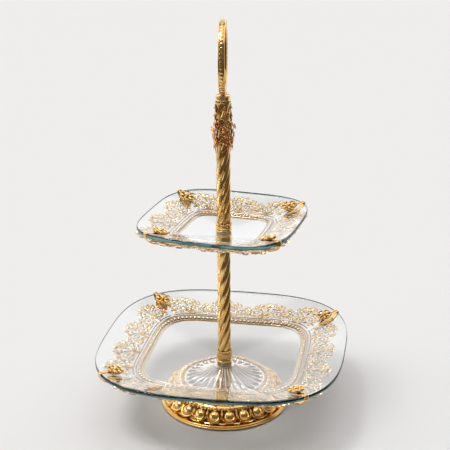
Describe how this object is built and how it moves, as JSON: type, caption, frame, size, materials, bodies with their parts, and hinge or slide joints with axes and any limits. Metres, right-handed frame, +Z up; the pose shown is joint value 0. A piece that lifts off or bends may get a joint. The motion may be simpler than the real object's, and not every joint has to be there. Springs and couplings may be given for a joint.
{
  "type": "tiered cake stand",
  "caption": "Tiered cake stand: square curled glass dishes in openwork gold frames with corner clips, clamped on a twisted stem over a gadrooned foot, with a ring handle.",
  "frame": {"origin": "centre of the foot's underside, on the surface that the stand rests on, on the stem's axis", "axes": "+Z up the stem, +X and +Y along the sides of the bottom dish"},
  "size_m": [0.29, 0.29, 0.464],
  "materials": {
    "polished_gold": "highly polished gold plating on castings and tubes",
    "cast_filigree": "gold plating on fine openwork castings",
    "clear_glass": "clear float glass, slumped, with polished green edges",
    "steel": "zinc-plated fasteners",
    "gasket": "matt soft rings",
    "felt": "pressed felt"
  },
  "bodies": {
    "stand": {"foot_felt": "felt", "foot_casting": "polished_gold", "foot_leaf_band": "polished_gold", "dome": "polished_gold", "bottom_collar": "polished_gold", "top_seat": "polished_gold", "top_collar": "polished_gold", "lower_stem": "polished_gold", "upper_stem": "polished_gold", "spray_collar": "polished_gold", "spray_front": "polished_gold", "spray_right": "polished_gold", "spray_back": "polished_gold", "spray_left": "polished_gold", "tie_rod": "steel", "rod_washer": "steel", "rod_nut": "steel", "bottom_gasket_lower": "gasket", "bottom_gasket_upper": "gasket", "top_gasket_lower": "gasket", "top_gasket_upper": "gasket"},
    "bottom_tier": {"bottom_glass": "clear_glass", "bottom_frame_band": "cast_filigree", "bottom_filigree_back": "cast_filigree", "bottom_filigree_left": "cast_filigree", "bottom_filigree_front": "cast_filigree", "bottom_filigree_right": "cast_filigree", "bottom_clip_1": "polished_gold", "bottom_clip_2": "polished_gold", "bottom_clip_3": "polished_gold", "bottom_clip_4": "polished_gold", "bottom_rosette_1": "polished_gold", "bottom_rosette_2": "polished_gold", "bottom_rosette_3": "polished_gold", "bottom_rosette_4": "polished_gold"},
    "top_tier": {"top_glass": "clear_glass", "top_frame_band": "cast_filigree", "top_filigree_back": "cast_filigree", "top_filigree_left": "cast_filigree", "top_filigree_front": "cast_filigree", "top_filigree_right": "cast_filigree", "top_clip_1": "polished_gold", "top_clip_2": "polished_gold", "top_clip_3": "polished_gold", "top_clip_4": "polished_gold", "top_rosette_1": "polished_gold", "top_rosette_2": "polished_gold", "top_rosette_3": "polished_gold", "top_rosette_4": "polished_gold"},
    "handle": {"cap": "polished_gold", "cap_nut": "steel", "handle_loop": "polished_gold", "handle_leaf_front": "polished_gold", "handle_leaf_back": "polished_gold"}
  },
  "joints": [
    {"name": "bottom_tier_turn", "type": "hinge", "parent": "stand", "child": "bottom_tier", "pos_m": [0, 0, 0.049], "axis": [0, 0, 1], "continuous": true},
    {"name": "top_tier_turn", "type": "hinge", "parent": "stand", "child": "top_tier", "pos_m": [0, 0, 0.2165], "axis": [0, 0, 1], "continuous": true},
    {"name": "handle_unscrew", "type": "hinge", "parent": "stand", "child": "handle", "pos_m": [0, 0, 0.378], "axis": [0, 0, 1], "range_deg": [0, 1080]}
  ]
}
